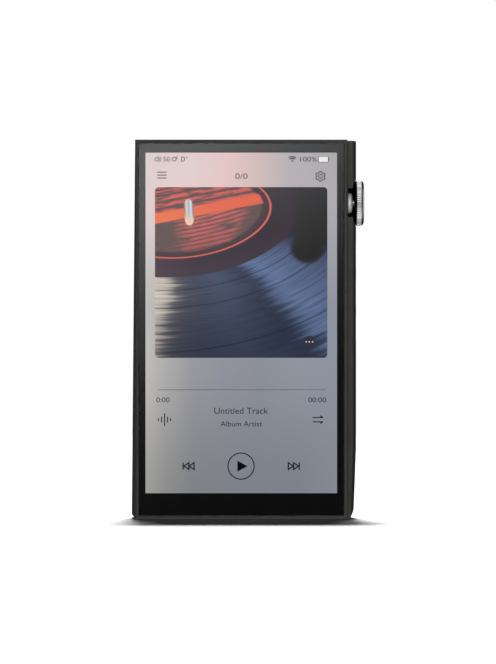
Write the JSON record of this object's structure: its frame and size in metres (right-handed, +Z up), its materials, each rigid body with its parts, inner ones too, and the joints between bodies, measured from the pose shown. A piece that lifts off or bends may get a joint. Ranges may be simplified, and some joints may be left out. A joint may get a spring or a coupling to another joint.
{
  "type": "digital audio player",
  "caption": "Slab-shaped digital audio player with a touch screen, a push-and-turn volume knob, three side buttons and sockets at both ends.",
  "frame": {"origin": "centre of the bottom face that the player stands on, at half its thickness and half the front frame's width", "axes": "+Z up along the long side, -Y out of the screen, +X towards the volume knob"},
  "size_m": [0.0757, 0.0154, 0.1233],
  "materials": {
    "frame_metal": "anodised dark grey, fine bead-blasted, bevelled edge",
    "shell_metal": "anodised near-black, fine bead-blasted",
    "cover_glass": "polished clear glass",
    "rear_glass": "polished black back-painted glass",
    "black_tape": "matt black adhesive tape",
    "screen": "lit liquid-crystal panel",
    "sheet_steel": "stamped sheet",
    "foam": "closed-cell foam",
    "amber_flex": "polyimide flex circuit",
    "screw_steel": "zinc plated",
    "antenna_plastic": "moulded",
    "board": "solder mask over glass fibre",
    "chip": "moulded epoxy",
    "nickel": "nickel plated",
    "black_plastic": "moulded",
    "gold_plate": "gold plated",
    "white_plastic": "moulded",
    "capacitor": "moulded, with a darker band",
    "foil": "laminated foil pouch",
    "white_tape": "foam tape",
    "lead": "insulated wire",
    "button_metal": "anodised, fine bead-blasted",
    "knob_chrome": "polished and knurled",
    "collar_metal": "satin, bead-blasted",
    "knob_face": "turned face with fine circular marks",
    "shaft_steel": "ground",
    "seal_rubber": "moulded ring"
  },
  "bodies": {
    "player": {"front_frame": "frame_metal", "body_shell": "shell_metal", "cover_glass": "cover_glass", "rear_cover": "rear_glass", "glass_tape": "black_tape", "rear_tape": "black_tape", "display_panel": "screen", "display_plate": "sheet_steel", "shield_can": "sheet_steel", "card_slot_cover": "sheet_steel", "key_bracket": "sheet_steel", "wifi_module": "sheet_steel", "display_foam": "foam", "display_flex": "amber_flex", "board_flex": "amber_flex", "chassis_screws": "screw_steel", "board_screws": "screw_steel", "antenna_carrier": "antenna_plastic", "main_board": "board", "audio_board": "board", "battery_board": "board", "key_board": "board", "processor": "chip", "memory_chips": "chip", "logic_chip": "chip", "dac_chips": "chip", "amp_chips": "chip", "usb_c_shell": "nickel", "clock_oscillators": "nickel", "usb_c_tongue": "black_plastic", "digital_out_housing": "black_plastic", "card_slot_base": "black_plastic", "jack_35_housing": "black_plastic", "jack_44_housing": "black_plastic", "key_switches": "black_plastic", "encoder_housing": "black_plastic", "digital_out_barrel": "gold_plate", "jack_35_barrel": "gold_plate", "jack_44_barrel": "gold_plate", "jack_35_terminals": "gold_plate", "jack_44_terminals": "gold_plate", "output_relays": "white_plastic", "board_connectors": "white_plastic", "filter_capacitors": "capacitor", "battery_cell": "foil", "battery_tape": "white_tape", "battery_lead": "lead", "knob_bushing": "collar_metal", "bushing_nut": "shaft_steel", "shaft_seal": "seal_rubber"},
    "plunger": {"encoder_plunger": "white_plastic"},
    "knob": {"knob_shaft": "shaft_steel", "knob_head": "knob_chrome", "knob_screw": "shaft_steel", "knob_inlay": "knob_face"},
    "previous_button": {"button_previous": "button_metal"},
    "play_button": {"button_play": "button_metal"},
    "next_button": {"button_next": "button_metal"}
  },
  "joints": [
    {"name": "knob_press", "type": "slide", "parent": "player", "child": "plunger", "axis": [-1, 0, 0], "range_m": [0, 0.0004], "stiffness_N_per_m": 6000},
    {"name": "knob_turn", "type": "hinge", "parent": "plunger", "child": "knob", "pos_m": [0.0384, 0, 0.1029], "axis": [1, 0, 0], "continuous": true},
    {"name": "previous_press", "type": "slide", "parent": "player", "child": "previous_button", "axis": [-1, 0, 0], "range_m": [0, 0.0003], "stiffness_N_per_m": 5000},
    {"name": "play_press", "type": "slide", "parent": "player", "child": "play_button", "axis": [-1, 0, 0], "range_m": [0, 0.0003], "stiffness_N_per_m": 5000},
    {"name": "next_press", "type": "slide", "parent": "player", "child": "next_button", "axis": [-1, 0, 0], "range_m": [0, 0.0003], "stiffness_N_per_m": 5000}
  ]
}
